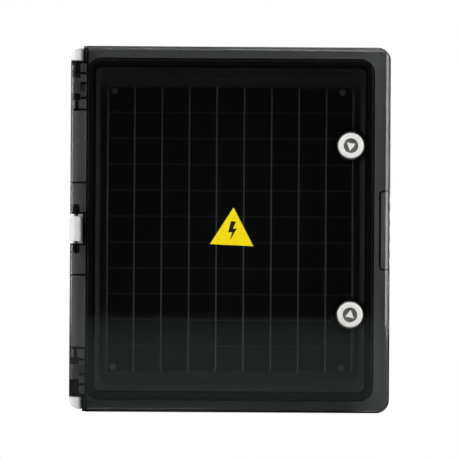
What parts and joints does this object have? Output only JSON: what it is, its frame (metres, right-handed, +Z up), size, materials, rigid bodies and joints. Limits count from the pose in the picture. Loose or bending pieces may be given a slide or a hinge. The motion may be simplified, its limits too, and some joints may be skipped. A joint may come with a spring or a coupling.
{
  "type": "dc combiner box",
  "caption": "Wall-mounted electrical enclosure with a smoked hinged door, triangle-key locks and a gridded mounting plate.",
  "frame": {"origin": "centre of the flat back face, on the wall", "axes": "+Z up, -Y out of the wall towards the front, +X to the right as seen from the front, hinge at -X"},
  "size_m": [0.35, 0.184, 0.4],
  "materials": {
    "base_plastic": "fine satin moulded light grey plastic",
    "plate_plastic": "matt dark grey moulded sheet",
    "screw_steel": "bright zinc plated",
    "insert_brass": "plain turned",
    "zinc_steel": "zinc plated sheet",
    "smoked_plastic": "transparent smoke grey, glossy",
    "seal_rubber": "soft black foam rubber",
    "pin_plastic": "black moulded",
    "slider_plastic": "light grey moulded, satin",
    "lock_plastic": "white moulded, semi-gloss",
    "core_casting": "grey die casting, its post dipped in white",
    "label_yellow": "printed film, satin",
    "label_black": "printed film, satin"
  },
  "bodies": {
    "base": {"base_tub": "base_plastic", "mounting_plate": "plate_plastic", "plate_screws": "screw_steel", "plate_inserts": "insert_brass", "keeper_upper": "zinc_steel", "keeper_lower": "zinc_steel", "keeper_screws": "screw_steel"},
    "door": {"door_panel": "smoked_plastic", "door_gasket": "seal_rubber", "hinge_cover_upper": "smoked_plastic", "hinge_cover_lower": "smoked_plastic", "hinge_peg_upper": "pin_plastic", "hinge_peg_lower": "pin_plastic", "lock_housing_upper": "lock_plastic", "lock_seal_upper": "seal_rubber", "lock_nut_upper": "lock_plastic", "lock_housing_lower": "lock_plastic", "lock_seal_lower": "seal_rubber", "lock_nut_lower": "lock_plastic", "label_sheet": "label_yellow", "label_sign": "label_black"},
    "lock_upper": {"lock_core_upper": "core_casting", "lock_cam_upper": "zinc_steel", "lock_cam_screw_upper": "screw_steel"},
    "lock_lower": {"lock_core_lower": "core_casting", "lock_cam_lower": "zinc_steel", "lock_cam_screw_lower": "screw_steel"},
    "slide_top": {"slide_pin_top": "pin_plastic", "slide_grip_top": "slider_plastic"},
    "slide_bottom": {"slide_pin_bottom": "pin_plastic", "slide_grip_bottom": "slider_plastic"}
  },
  "joints": [
    {"name": "door_hinge", "type": "hinge", "parent": "base", "child": "door", "pos_m": [-0.168, -0.172, 0], "axis": [0, 0, -1], "range_deg": [0, 170]},
    {"name": "lock_upper_turn", "type": "hinge", "parent": "door", "child": "lock_upper", "pos_m": [0.131, -0.17, 0.092], "axis": [0, -1, 0], "range_deg": [0, 90]},
    {"name": "lock_lower_turn", "type": "hinge", "parent": "door", "child": "lock_lower", "pos_m": [0.131, -0.17, -0.092], "axis": [0, 1, 0], "range_deg": [0, 90]},
    {"name": "pin_top_slide", "type": "slide", "parent": "door", "child": "slide_top", "axis": [0, 0, -1], "range_m": [0, 0.0085]},
    {"name": "pin_bottom_slide", "type": "slide", "parent": "door", "child": "slide_bottom", "axis": [0, 0, 1], "range_m": [0, 0.0085]}
  ]
}
